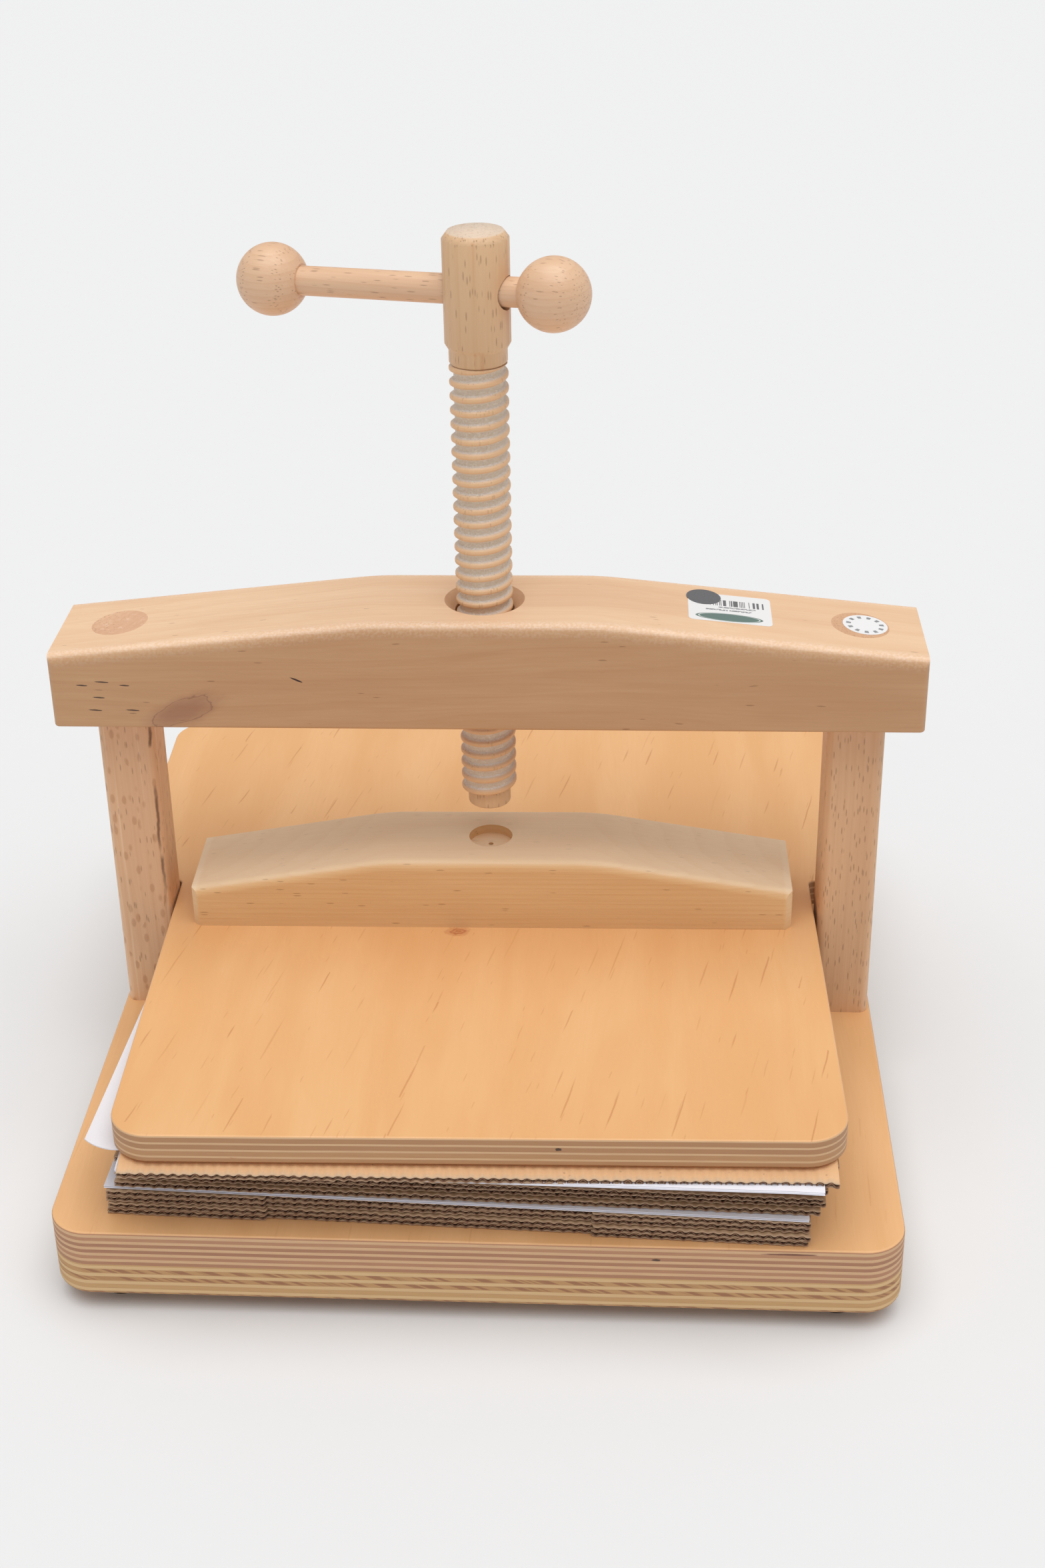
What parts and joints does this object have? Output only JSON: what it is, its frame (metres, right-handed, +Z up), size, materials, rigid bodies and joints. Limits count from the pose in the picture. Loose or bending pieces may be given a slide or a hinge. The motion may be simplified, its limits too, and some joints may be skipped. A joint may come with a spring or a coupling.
{
  "type": "bookbinding press",
  "caption": "Wooden screw press: crowned beam on posts, threaded wooden screw with ball-ended bar, pressing bar, T-shaped upper board over a stack of corrugated boards and blotters.",
  "frame": {"origin": "on the floor under the feet, below the middle of the base, on the press screw's axis", "axes": "+Z up along the press screw; +X along the top beam to the right; +Y from the front to the back"},
  "size_m": [0.4, 0.3885, 0.4324],
  "materials": {
    "beam_wood": "oiled softwood, fine straight grain",
    "post_wood": "oiled, satin",
    "bar_wood": "sanded, unfinished",
    "screw_wood": "turned hardwood, waxed",
    "knob_wood": "turned hardwood, waxed",
    "base_ply": "plywood, sanded edges",
    "platen_ply": "plywood, lacquered face",
    "kraft_board": "corrugated kraft board",
    "blotter_paper": "matte absorbent paper",
    "label_paper": "coated paper",
    "dot_paper": "printed paper",
    "foot_rubber": "matte",
    "screw_steel": "zinc plated"
  },
  "bodies": {
    "frame": {"base_lower_board": "base_ply", "base_upper_board": "base_ply", "foot_front_left": "foot_rubber", "foot_front_right": "foot_rubber", "foot_back_left": "foot_rubber", "foot_back_right": "foot_rubber", "foot_screws": "screw_steel", "left_post": "post_wood", "right_post": "post_wood", "post_screws": "screw_steel", "post_washers": "screw_steel", "top_beam": "beam_wood", "paper_label": "label_paper", "grey_dot": "dot_paper", "round_label": "label_paper"},
    "sheet_stack": {"lower_board_1": "kraft_board", "lower_board_2": "kraft_board", "lower_board_3": "kraft_board", "lower_board_4": "kraft_board", "lower_blotter": "blotter_paper", "middle_board_1": "kraft_board", "middle_board_2": "kraft_board", "middle_board_3": "kraft_board", "middle_board_4": "kraft_board", "middle_board_5": "kraft_board", "middle_board_6": "kraft_board", "upper_blotter": "blotter_paper", "top_board": "kraft_board", "cover_sheet": "blotter_paper"},
    "platen": {"platen": "platen_ply"},
    "pressing_bar": {"pressing_bar": "bar_wood"},
    "thrust_button": {"thrust_button": "screw_steel"},
    "press_screw": {"press_screw": "screw_wood"},
    "handle": {"handle_bar": "knob_wood", "left_knob": "knob_wood", "right_knob": "knob_wood"}
  },
  "joints": [
    {"name": "stack_lift", "type": "slide", "parent": "frame", "child": "sheet_stack", "axis": [0, 0, 1], "range_m": [0, 0.01]},
    {"name": "platen_lift", "type": "slide", "parent": "sheet_stack", "child": "platen", "axis": [0, 0, 1], "range_m": [0, 0.018]},
    {"name": "bar_lift", "type": "slide", "parent": "platen", "child": "pressing_bar", "axis": [0, 0, 1], "range_m": [0, 0.018]},
    {"name": "screw_feed", "type": "slide", "parent": "frame", "child": "thrust_button", "axis": [0, 0, 1], "range_m": [-0.02485, 0.04407]},
    {"name": "screw_turn", "type": "hinge", "parent": "thrust_button", "child": "press_screw", "pos_m": [0, 0, 0.4], "axis": [0, 0, 1], "range_deg": [-1365, 2430]},
    {"name": "handle_slide", "type": "slide", "parent": "press_screw", "child": "handle", "axis": [0.9506, -0.3089, 0.0314], "range_m": [-0.0058, 0.0683]}
  ],
  "couplings": [
    {"joint": "screw_feed", "follows": "screw_turn", "m_per_rad": 0.0010345}
  ]
}
